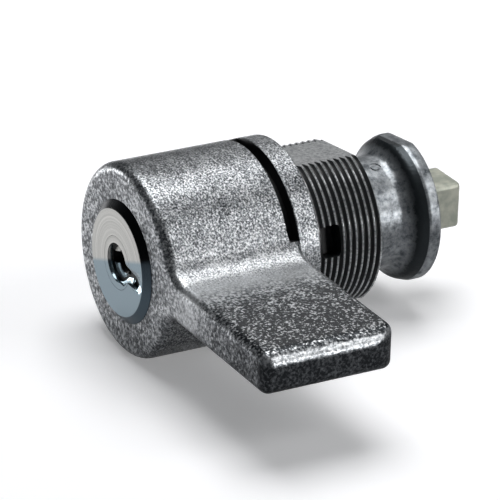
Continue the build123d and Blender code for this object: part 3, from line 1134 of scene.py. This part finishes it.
@dataclass
class Housing:
    """The fixed casting: flange ring with journal and stop lug, threaded barrel, neck and rim.

    Args:
        finishes: the lock's finishes.
        ring_thick: thickness of the flange ring.
        journal_wall: wall of the journal that the handle turns on.
        lug_span: first and last angle of the stop lug.
        barrel_length: length of the threaded barrel.
        pitch: thread pitch.
        depth: thread depth.
        flank: steepness of the thread's flanks, in thread depths to one pitch.
        pitch_steps: mesh steps to one pitch.
        round_steps: mesh steps round the barrel.
        bore: radius of the spindle's bore.
        neck: radius of the neck.
        neck_length: its straight length.
        flare: where the flare has its corner, as shares of its rise and its length.
        bends: how far the corners before, in and after the flare are rounded.
        bend_steps: steps of each of these bends.
        rim_radius: radius of the rear rim.
        rim_thick: its thickness.
        rim_flat: distance from the axis to the rim's flats.
        edge: radius of small cast edges.
        window_angle: where the window for the spindle's key lies.
        window_half: half its width.
        window_span: where it begins and ends along the axis.
        window_corner: radius of its corners.
        mark_angle: angle of the ejector's mark on the neck.
        mark_y: its place along the axis.
        mark_radii: outer and inner radius of the mark's groove.
        mark_sunk: depth of the groove.
    """

    finishes: Finishes
    ring_thick: float = 3.3
    journal_wall: float = 1.82
    lug_span: Pair = (112.0, 141.0)
    barrel_length: float = 11.0
    pitch: float = 1.0
    depth: float = 0.6
    flank: float = 2.3
    pitch_steps: int = 12
    round_steps: int = 360
    bore: float = 5.08
    neck: float = 8.2
    neck_length: float = 6.1
    flare: Pair = (0.78, 0.5)
    bends: tuple[float, float, float] = (1.0, 0.5, 0.25)
    bend_steps: int = 6
    rim_radius: float = 10.75
    rim_thick: float = 1.5
    rim_flat: float = 10.15
    edge: float = 0.2
    window_angle: float = 12.0
    window_half: float = 2.3
    window_span: Pair = (1.6, 4.6)
    window_corner: float = 0.5
    mark_angle: float = 75.6
    mark_y: float = 15.3
    mark_radii: Pair = (0.9, 0.62)
    mark_sunk: float = 0.16

    def __post_init__(self) -> None:
        """Reads the sizes that the frame gives."""
        box = Extent.of("housing")
        self.radius = box.radius
        self.front = box.low.y
        self.rear = box.high.y

    def ring_and_journal(self) -> Solid:
        """Turns the flange ring with the journal, and adds the stop lug and the bolt's notches.

        Returns:
            The front of the casting.
        """
        seal, bolt, handle = map(Extent.of, ("spindle_seal", "locking_bolt", "handle"))
        journal = self.radius - SKIRT_WALL - RUN_GAP
        inner = journal - self.journal_wall
        step = seal.high.y + GAP
        recess = seal.radius + 4 * GAP
        front = -self.ring_thick
        profile = [(inner, self.front), (journal, self.front), (journal, front)]
        profile += rounded_corner((self.radius, front), (1, 0), (0, 1), self.edge)
        profile += rounded_corner((self.radius, 0), (0, 1), (-1, 0), self.edge)
        profile += [(self.bore, 0), (self.bore, step), (recess, step), (recess, front), (inner, front)]
        lug_radii = (self.radius - GAP, journal - 4 * GAP)
        lug_depths = (handle.high.y - STOP_DEPTH + 4 * GAP, front + 4 * GAP)
        solid = combine(Change.JOIN, turned(profile, "flange"), sector(lug_radii, lug_depths, self.lug_span))
        half = bolt.high.x + 4 * GAP
        low, high = (inner - PAST, self.front - PAST, -half), (self.radius, bolt.high.y + 3 * GAP, half)
        return cut(solid, *(block(low, high, turn) for turn in (90, 180)))

    def barrel_tree(self) -> bpy.types.NodeTree:
        """The geometry tree that shapes a cylinder into a thread with two flats.

        Returns:
            The tree, with an input for each size and for the finish.
        """
        tree = bpy.data.node_groups.new("threaded barrel", "GeometryNodeTree")
        node = partial(add_node, tree)
        for item in ThreadInput:
            name, kind = item.value
            tree.interface.new_socket(name, in_out="INPUT", socket_type=f"NodeSocket{kind}")
        tree.interface.new_socket("Geometry", in_out="OUTPUT", socket_type="NodeSocketGeometry")
        inputs = node("NodeGroupInput").outputs
        values = {item: inputs[item.value[0]] for item in ThreadInput}
        sizes = {
            "Vertices": values[ThreadInput.ROUND_STEPS],
            "Side Segments": values[ThreadInput.STEPS],
            "Radius": 1.0,
            "Depth": 1.0,
        }
        stock = node("GeometryNodeMeshCylinder", sizes, fill_type="NGON")
        position = node("GeometryNodeInputPosition")
        values |= {socket.name: socket for socket in node("ShaderNodeSeparateXYZ", (position,)).outputs}
        # Each row: the name of a result, the sum that gives it, and what goes in
        sums = (
            ("turn", "ARCTAN2", "Y", "X"),
            ("share", "ADD", "Z", 0.5),
            ("along", "MULTIPLY", "share", ThreadInput.LENGTH),
            ("turns", "DIVIDE", "along", ThreadInput.PITCH),
            ("part of turn", "DIVIDE", "turn", 2 * math.pi),
            ("phase", "SUBTRACT", "turns", "part of turn"),
            ("wave", "PINGPONG", "phase", 0.5),
            ("steep", "MULTIPLY", "wave", self.flank),
            ("fall", "MINIMUM", "steep", 1.0),
            ("groove", "MULTIPLY", ThreadInput.DEPTH, "fall"),
            ("radius", "SUBTRACT", ThreadInput.CREST, "groove"),
            ("sine", "SINE", "turn"),
            ("height", "MULTIPLY", "radius", "sine"),
            ("lower flat", "MULTIPLY", ThreadInput.FLAT, -1.0),
            ("over lower flat", "MAXIMUM", "height", "lower flat"),
            ("clipped", "MINIMUM", "over lower flat", ThreadInput.FLAT),
            ("cosine", "COSINE", "turn"),
            ("across", "MULTIPLY", "radius", "cosine"),
        )
        for result, operation, *names in sums:
            terms = [values.get(name, name) for name in names]
            values[result] = node("ShaderNodeMath", terms, operation=operation)
        place = node("ShaderNodeCombineXYZ", [values[name] for name in ("across", "along", "clipped")])
        moved = node("GeometryNodeSetPosition", {"Geometry": stock, "Position": place})
        real = node("GeometryNodeRealizeInstances", (moved,))
        finish = values[ThreadInput.FINISH]
        dressed = node("GeometryNodeSetMaterial", {"Geometry": real, "Material": finish})
        node("NodeGroupOutput", (dressed,))
        return tree

    def barrel(self) -> Solid:
        """Shapes the threaded barrel, and cuts its bore and the window for the spindle's key.

        Returns:
            The middle of the casting.
        """
        host = new_object("barrel", bpy.data.meshes.new("barrel"))
        step = host.modifiers.new("thread", "NODES")
        step.node_group = self.barrel_tree()
        values = {
            ThreadInput.CREST: THREAD_CREST,
            ThreadInput.DEPTH: self.depth,
            ThreadInput.PITCH: self.pitch,
            ThreadInput.LENGTH: self.barrel_length,
            ThreadInput.FLAT: FLAT_DISTANCE,
            ThreadInput.STEPS: round(self.barrel_length / self.pitch) * self.pitch_steps,
            ThreadInput.ROUND_STEPS: self.round_steps,
            ThreadInput.FINISH: self.finishes.thread,
        }
        sockets = {socket.name: socket.identifier for socket in step.node_group.interface.items_tree}
        for item, value in values.items():
            step[sockets[item.value[0]]] = value
        graph = bpy.context.evaluated_depsgraph_get()
        mesh = bpy.data.meshes.new_from_object(host.evaluated_get(graph))
        host.modifiers.clear()
        host.data = mesh
        mesh.transform(about_lock(FLAT_TURN))
        front, rear = self.window_span
        low, high = (0, front, -self.window_half), (2 * THREAD_CREST, rear, self.window_half)
        window = block(low, high, self.window_angle, self.window_corner)
        return cut(host, bar(self.bore, -PAST, self.barrel_length + PAST), window)

    def ejector_mark(self) -> Solid:
        """Makes the cutter for the round mark that the mould's ejector leaves on the neck.

        Returns:
            A short tube, set into the neck's side.
        """
        outer, inner = self.mark_radii
        height = self.mark_sunk + PAST
        mark = turned([(inner, 0), (outer, 0), (outer, height), (inner, height)], "mark", 32)
        place = about_lock(self.mark_angle) @ Matrix.Translation((self.neck - self.mark_sunk, self.mark_y, 0))
        mark.data.transform(place @ Matrix.Rotation(-math.pi / 2, 4, "Z"))
        return mark

    def neck_and_rim(self) -> Solid:
        """Turns the smooth neck that flares out to the rim, and cuts the rim's two flats.

        Returns:
            The rear of the casting.
        """
        start = self.barrel_length + self.neck_length
        rim_front = self.rear - self.rim_thick
        rise, length = self.flare
        shoulder = (self.neck + rise * (self.rim_radius - self.neck), start + length * (rim_front - start))
        corners = [(self.neck, self.barrel_length), (self.neck, start), shoulder]
        corners += [(self.rim_radius, rim_front), (self.rim_radius, self.rear)]
        path = [Vector(corner) for corner in corners]
        front = self.barrel_length - 10 * GAP
        profile = [(self.bore, front), (self.neck, front)]
        for before, corner, after, reach in zip(path, path[1:], path[2:], self.bends):
            enter = corner + (before - corner).normalized() * reach
            leave = corner + (after - corner).normalized() * reach
            for share in spaced(0, 1, self.bend_steps):
                bend = enter * (1 - share) ** 2 + corner * 2 * share * (1 - share) + leave * share**2
                profile.append(tuple(bend))
        profile += rounded_corner((self.rim_radius, self.rear), (0, 1), (-1, 0), self.edge)
        profile.append((self.bore, self.rear))
        solid = cut(turned(profile, "neck"), self.ejector_mark())
        wide = 2 * self.rim_radius
        flats = block((-wide, 0, -self.rim_flat), (wide, 2 * self.rear, self.rim_flat), FLAT_TURN)
        return combine(Change.KEEP_INSIDE, solid, flats)

    def in_front(self, face: Face) -> bool:
        """True on the journal, the lug and the ring's front face, which the stop slot shows."""
        return face.center.y / MM < GAP - self.ring_thick

    def build(self) -> None:
        """Makes the housing's pieces and takes the place of its CAD node."""
        coat, casting, thread = self.finishes.handle, self.finishes.casting, self.finishes.thread
        ring = finish_piece(self.ring_and_journal(), "housing_flange", "housing", coat)
        # The journal, the lug and the ring's front face get black as painted shade.
        repaint(ring, self.finishes.black, self.in_front)
        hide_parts("housing")
        finish_piece(self.barrel(), "housing_thread", "housing", thread, 20)
        finish_piece(self.neck_and_rim(), "housing_neck", "housing", casting)


@dataclass
class LockCylinder:
    """The plated cylinder in the hub: body, turning plug, wafers and springs.

    Args:
        finishes: the lock's finishes.
        funnel_radius: radius of the key opening's funnel at the face.
        funnel_floor: its radius at the bottom.
        funnel_lip: how far it runs straight before it narrows.
        funnel_depth: its depth.
        slot_depth: depth of the slot that runs out of the funnel.
        slot_start: where the slot begins inside the funnel.
        slot_reach: where the slot ends near the face's edge.
        slot_knee: where it begins to narrow.
        slot_middle: where the floor widens to the lower edge.
        slot_top: height of the slot's upper wall at the funnel and at the knee.
        slot_bottom: height of its lower edge at the funnel, and of the slope's at the knee.
        slot_end: height of its upper and its lower corner at the end.
        slope_width: how far the slope rises over the lower edge below the funnel.
        slope_foot: height where the slope widens below the funnel.
        slope_from: how far out it is wide, and where it is as narrow as the slot.
        slope_faces: the direction that the slope faces.
        face_bevel: how far the bevel round the face reaches inwards.
        bevel_depth: how far it reaches back.
        head: length of the smooth front.
    """

    finishes: Finishes
    funnel_radius: float = 2.85
    funnel_floor: float = 1.75
    funnel_lip: float = 0.15
    funnel_depth: float = 1.3
    slot_depth: float = 0.8
    slot_start: float = 0.5
    slot_reach: float = 7.5
    slot_knee: float = 6.15
    slot_middle: float = 4.5
    slot_top: Pair = (1.2, 0.3)
    slot_bottom: float = -1.8
    slot_end: Pair = (-0.9, -1.44)
    slope_width: float = 0.8
    slope_foot: float = -2.7
    slope_from: Pair = (2.25, 3.25)
    slope_faces: tuple[float, float, float] = (-0.135, -0.884, 0.448)
    face_bevel: float = 1.15
    bevel_depth: float = 0.85
    head: float = 1.5

    def __post_init__(self) -> None:
        """Reads the face's place from the frame."""
        self.face = Extent.of("lock_core").low.y

    def slot(self) -> list[Solid]:
        """Makes the cutters for the slot that narrows from the funnel to the face's edge.

        Returns:
            The slot's deep part, and the slope along its lower edge.
        """
        start, knee, middle, reach = self.slot_start, self.slot_knee, self.slot_middle, self.slot_reach
        bottom = self.slot_bottom
        raised = bottom + self.slope_width
        depths = (self.face - PAST, self.face + self.slot_depth)
        upper = [(start, self.slot_top[0]), (knee, self.slot_top[1])]
        deep = [(knee, self.slot_end[1]), (middle, bottom), (middle, raised), (start, raised)]
        end = [(reach, self.slot_end[0]), (reach, self.slot_end[1]), (knee, bottom)]
        foot = [(self.slope_from[1], bottom), (self.slope_from[0], self.slope_foot), (start, self.slope_foot)]
        far = 3 * reach
        ahead = block((-far, -far, -far), (far, 0, far))
        tilt = Vector((0, -1, 0)).rotation_difference(Vector(self.slope_faces)).to_matrix().to_4x4()
        ahead.data.transform(Matrix.Translation((reach, self.face, self.slot_end[1])) @ tilt)
        slope = combine(Change.KEEP_INSIDE, prism(upper + end + foot, *depths), ahead)
        return [prism(upper + deep, *depths), slope]

    def plug(self) -> Solid:
        """Cuts the funnel round the key opening, and the slot that runs out of it.

        Returns:
            The turning core.
        """
        ahead, floor = self.face - PAST, self.face + self.funnel_depth
        profile = [
            (0, ahead),
            (self.funnel_radius, ahead),
            (self.funnel_radius, self.face + self.funnel_lip),
            (self.funnel_floor, floor),
            (0, floor),
        ]
        return cut(cad_copy("lock_core"), turned(profile, "funnel", 72), *self.slot())

    def barrel(self) -> Solid:
        """Puts a smooth turned front in place of the CAD one.

        Returns:
            The body round the core.
        """
        radius = Extent.of("lock_body").radius
        bore = Extent.of("lock_core").radius + GAP
        seam = self.face + self.head
        profile = [
            (bore, self.face),
            (radius - self.face_bevel, self.face),
            (radius, self.face + self.bevel_depth),
            (radius, seam + GAP),
            (bore, seam + GAP),
        ]
        rest = cut(cad_copy("lock_body"), bar(radius + PAST, self.face - PAST, seam))
        return combine(Change.JOIN, rest, cut(turned(profile, "head"), *self.slot()))

    def behind_funnel(self, face: Face) -> bool:
        """True on the walls behind the funnel, which light does not reach."""
        return face.center.y / MM > self.face + self.funnel_depth + 2 * GAP

    def on_floor(self, face: Face) -> bool:
        """True on the slot's floor, which lies in the dark."""
        deep = face.center.y / MM > self.face + self.slot_depth - GAP
        return deep and face.normal.y < -0.99 and not self.behind_funnel(face)

    def build(self) -> None:
        """Makes the cylinder's two turned pieces and dresses the others."""
        plate, black = self.finishes.plate, self.finishes.black
        core = finish_piece(self.plug(), "lock_plug", "core", plate)
        # The walls behind the funnel and the slot's floor get black as painted shade.
        repaint(core, black, lambda face: self.behind_funnel(face) or self.on_floor(face))
        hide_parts("lock_core")
        body = finish_piece(self.barrel(), "lock_barrel", "handle", plate)
        # The slot's floor gets black as painted shade.
        repaint(body, black, self.on_floor)
        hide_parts("lock_body")
        springs = [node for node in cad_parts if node.startswith("wafer_spring")]
        wafers = [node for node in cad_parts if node.startswith("wafer_") and node not in springs]
        dress(self.finishes.brass, "retaining_wafer", *wafers)
        dress(self.finishes.zinc, "lock_body_pin", *springs)


@dataclass
class Drive:
    """The spindle with its screw, key and seal, and the locking bolt.

    Args:
        finishes: the lock's finishes.
        corner: radius of the square's corners.
        end_edge: radius of the edge round its end.
        cam_hole: radius of the hole for the cam's screw.
        hole_depth: depth of that hole.
    """

    finishes: Finishes
    corner: float = 0.75
    end_edge: float = 0.4
    cam_hole: float = 2.1
    hole_depth: float = 12.0

    def stub(self, start: float, end: float) -> Solid:
        """The square bar with soft edges that carries the cam.

        Args:
            start: where it begins along the axis.
            end: where it ends.

        Returns:
            The bar as an object.
        """
        straight = SQUARE / 2 - self.corner
        stations = [(start, self.corner)]
        for turn in angles(0, 90, 5):
            y = end - self.end_edge * (1 - math.sin(turn))
            stations.append((y, self.corner - self.end_edge * (1 - math.cos(turn))))
        loops = []
        for y, radius in stations:
            loop = []
            for begin, side_x, side_z in ((0, 1, 1), (90, -1, 1), (180, -1, -1), (270, 1, -1)):
                for turn in angles(begin, begin + 90, 6):
                    x = side_x * straight + radius * math.cos(turn)
                    loop.append((x, y, side_z * straight + radius * math.sin(turn)))
            loops.append(loop)
        return loft(loops, "stub")

    def spindle(self) -> Solid:
        """Gives a copy of the CAD spindle a soft-edged square.

        Returns:
            The spindle, with the hole for the cam's screw.
        """
        end = Extent.of("spindle").high.y
        shoulder = Extent.of("housing").high.y - GAP
        beyond = end + PAST
        shaft = cut(cad_copy("spindle"), block((-SQUARE, shoulder, -SQUARE), (SQUARE, beyond, SQUARE)))
        whole = combine(Change.JOIN, shaft, self.stub(shoulder - PAST, end))
        return cut(whole, bar(self.cam_hole, end - self.hole_depth, beyond))

    def build(self) -> None:
        """Makes the spindle and dresses the drive's other pieces."""
        steel = self.finishes.passivated
        piece = finish_piece(self.spindle(), "square_spindle", "handle", steel)
        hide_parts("spindle")
        dress(self.finishes.black, "spindle_key")
        dress(self.finishes.zinc, "spindle_screw", "locking_bolt")
        dress(self.finishes.rubber, "spindle_seal")


# The studio


def toward(azimuth: float, elevation: float) -> Vector:
    """The direction from the lock to a place round and above it, given in degrees."""
    turn, rise = math.radians(azimuth), math.radians(elevation)
    return Vector((math.sin(turn) * math.cos(rise), -math.cos(turn) * math.cos(rise), math.sin(rise)))


@dataclass(frozen=True)
class SoftBox:
    """A square lamp aimed at the lock.

    Args:
        name: the lamp's name.
        azimuth: where it hangs round the lock in degrees.
        elevation: where it hangs above the floor in degrees.
        distance: from the lock in metres.
        size: side of the box in metres.
        watts: its power.
    """

    name: str
    azimuth: float
    elevation: float
    distance: float
    size: float
    watts: float

    def build(self) -> None:
        """Hangs the lamp."""
        back = toward(self.azimuth, self.elevation)
        data = bpy.data.lights.new(self.name, "AREA")
        data.shape = "SQUARE"
        data.size = self.size
        data.energy = self.watts
        lamp = bpy.data.objects.new(self.name, data)
        lamp.location = back * self.distance
        lamp.rotation_mode = "QUATERNION"
        lamp.rotation_quaternion = back.to_track_quat("Z", "Y")
        bpy.context.scene.collection.objects.link(lamp)


@dataclass
class Studio:
    """Floor, light and camera at the photograph's viewing angle.

    Args:
        azimuth: camera angle round the lock in degrees.
        elevation: camera angle above the floor in degrees.
        roll: camera roll in degrees.
        focal_px: focal length in pixels of the 500 pixel frame.
        distance: from the seating face's centre in millimetres.
        slide: sideways and upward offset of the camera in millimetres.
        frame_px: width of the frame in pixels.
        floor_half: half the floor's width in metres.
        floor_glow: how much of the floor's white keeps clear of the shadows.
        floor_mirror: share of that white that shows in reflections.
        floor_colour: colour of the floor where it takes light.
        floor_dark_reflection: its darker colour in reflections on the wing's side of the hub, a painted dark
            reflection.
        reflection_dimmed: where across the floor that painted dark reflection begins and is full, in
            millimetres.
        backdrop: where the floor begins to turn into a white backdrop and where it is one, in millimetres.
        surround: colour of the dim light that fills the shadows.
        surround_strength: its strength.
        lamps: the soft boxes.
    """

    azimuth: float = 60.697
    elevation: float = 24.305
    roll: float = 1.54
    focal_px: float = 3800.0
    distance: float = 540.187
    slide: Pair = (-3.167, -2.73)
    frame_px: int = 500
    floor_half: float = 1.5
    floor_glow: float = 0.22
    floor_mirror: float = 0.09
    floor_colour: str = "#f4f4f6"
    floor_dark_reflection: str = "#6e6f72"
    reflection_dimmed: Pair = (-14.0, 16.0)
    backdrop: Pair = (90.0, 260.0)
    surround: str = "#c9d6e2"
    surround_strength: float = 0.05
    lamps: tuple[SoftBox, ...] = (
        SoftBox("overhead soft box", azimuth=250, elevation=78, distance=0.5, size=0.36, watts=2.2),
        SoftBox("side soft box", azimuth=127, elevation=40, distance=0.5, size=0.2, watts=0.5),
        SoftBox("low soft box", azimuth=116, elevation=9, distance=0.35, size=0.06, watts=0.25),
        SoftBox("rear soft box", azimuth=238, elevation=30, distance=0.18, size=0.06, watts=0.012),
        SoftBox("front soft box", azimuth=303, elevation=0, distance=0.14, size=0.03, watts=0.024),
    )

    def camera(self) -> None:
        """Places the camera."""
        turn, roll = math.radians(self.azimuth), math.radians(self.roll)
        back = toward(self.azimuth, self.elevation)
        right = Vector((math.cos(turn), math.sin(turn), 0))
        up = back.cross(right)
        place = (back * self.distance + right * self.slide[0] + up * self.slide[1]) * MM
        tilted_right = right * math.cos(roll) + up * math.sin(roll)
        tilted_up = up * math.cos(roll) - right * math.sin(roll)
        data = bpy.data.cameras.new("studio camera")
        data.sensor_width = 36
        data.lens = self.focal_px * data.sensor_width / self.frame_px
        data.clip_start, data.clip_end = 0.01, 10
        camera = bpy.data.objects.new("studio camera", data)
        facing = Matrix((tilted_right, tilted_up, back)).transposed().to_4x4()
        camera.matrix_world = Matrix.Translation(place) @ facing
        bpy.context.scene.collection.objects.link(camera)
        bpy.context.scene.camera = camera

    def white_card(self) -> Material:
        """Makes the floor's card, which turns into a white backdrop further out.

        Returns:
            The material.
        """
        # Matt white card gives a plain, pale ground that takes soft shadows.
        material, node = new_material("white_card")
        rays = node("ShaderNodeLightPath").outputs
        here = node("ShaderNodeTexCoord").outputs["Object"]
        both = (rays["Is Glossy Ray"], rays["Is Transmission Ray"])
        mirrored = node("ShaderNodeMath", both, operation="MAXIMUM")
        away = node("ShaderNodeVectorMath", (here,), operation="LENGTH")
        white = node("ShaderNodeMapRange", (away, *metres(self.backdrop), self.floor_glow, 1))
        seen = node("ShaderNodeMath", (rays["Is Camera Ray"], white), operation="MULTIPLY")
        glow = node("ShaderNodeMath", (mirrored, self.floor_mirror, seen), operation="MULTIPLY_ADD")
        # In reflections on the wing's side of the hub the card is painted a darker grey: a painted dark
        # reflection.
        across = node("ShaderNodeSeparateXYZ", (here,)).outputs["X"]
        beside = node("ShaderNodeMapRange", (across, *metres(self.reflection_dimmed)))
        reflection_dimmed = node("ShaderNodeMath", (mirrored, beside), operation="MULTIPLY")
        colours = {0: reflection_dimmed, 6: linear(self.floor_colour), 7: linear(self.floor_dark_reflection)}
        shade = node("ShaderNodeMix", colours, data_type="RGBA")
        light = node("ShaderNodeEmission", {"Color": linear("#ffffff"), "Strength": glow})
        card = node("ShaderNodeBsdfDiffuse", {"Color": shade})
        node("ShaderNodeOutputMaterial", {"Surface": node("ShaderNodeAddShader", (light, card))})
        return material

    def floor(self) -> None:
        """Lays the floor under the hub."""
        half = self.floor_half
        mesh = bpy.data.meshes.new("floor")
        square = ((-half, -half), (half, -half), (half, half), (-half, half))
        corners = [(x, y, cad_box[0].z) for x, y in square]
        mesh.from_pydata(corners, [], [(0, 1, 2, 3)])
        mesh.materials.append(self.white_card())
        floor = new_object("floor", mesh)

    def world(self) -> None:
        """Fills the shadows with a dim, cool surround."""
        world = bpy.data.worlds.new("studio")
        bpy.context.scene.world = world
        world.use_nodes = True
        world.node_tree.nodes.clear()
        node = partial(add_node, world.node_tree)
        light = {"Color": linear(self.surround), "Strength": self.surround_strength}
        node("ShaderNodeOutputWorld", {"Surface": node("ShaderNodeBackground", light)})

    def build(self) -> None:
        """Sets the whole studio."""
        self.camera()
        self.floor()
        for lamp in self.lamps:
            lamp.build()
        self.world()
        bpy.context.scene.view_settings.view_transform = "Standard"
        log.info("studio ready")


def main() -> None:
    """Builds the lock piece by piece, then the studio."""
    logging.basicConfig(level=logging.INFO, format="%(name)s: %(message)s")
    finishes = Finishes()
    for part in (Handle(finishes), Housing(finishes), LockCylinder(finishes), Drive(finishes)):
        part.build()
    Studio().build()


if __name__ == "__main__":
    main()
